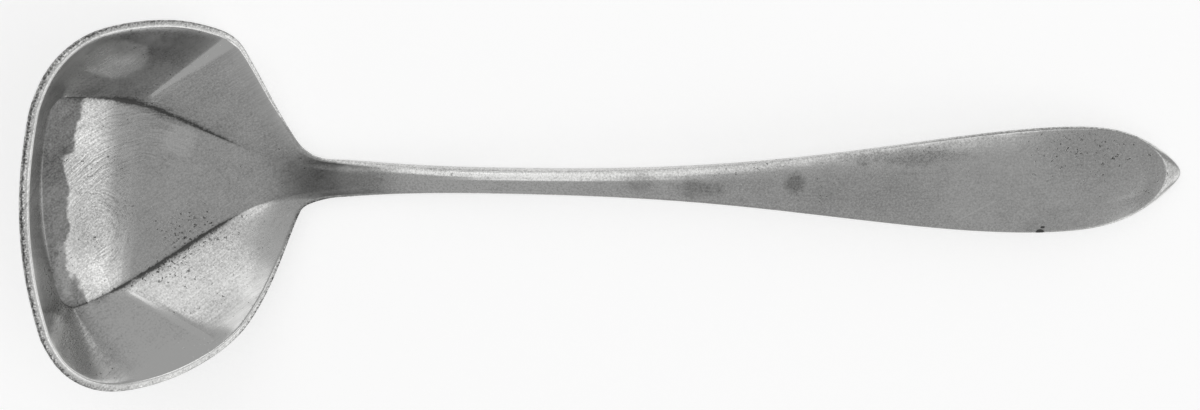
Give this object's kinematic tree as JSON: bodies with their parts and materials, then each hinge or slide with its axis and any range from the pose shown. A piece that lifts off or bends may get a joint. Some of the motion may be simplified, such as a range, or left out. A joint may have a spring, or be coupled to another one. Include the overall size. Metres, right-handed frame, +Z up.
{
  "type": "cream ladle",
  "caption": "Small one-piece silver ladle: wide rounded bowl with a creased fan-shaped floor and folded sides, slender arched handle widening to a flat pointed end",
  "frame": {"origin": "centre of the bounding box's footprint, on the surface that the ladle lies on", "axes": "+X runs from the bowl to the handle's tip, +Y across, +Z up; the ladle lies with its bowl open upwards, on the bowl's heel and the tip"},
  "size_m": [0.1368, 0.0448, 0.0207],
  "materials": {
    "silver": "worn silver, lightly tarnished in the creases, with fine polishing scratches"
  },
  "bodies": {
    "root": {"ladle": "silver"}
  },
  "joints": []
}
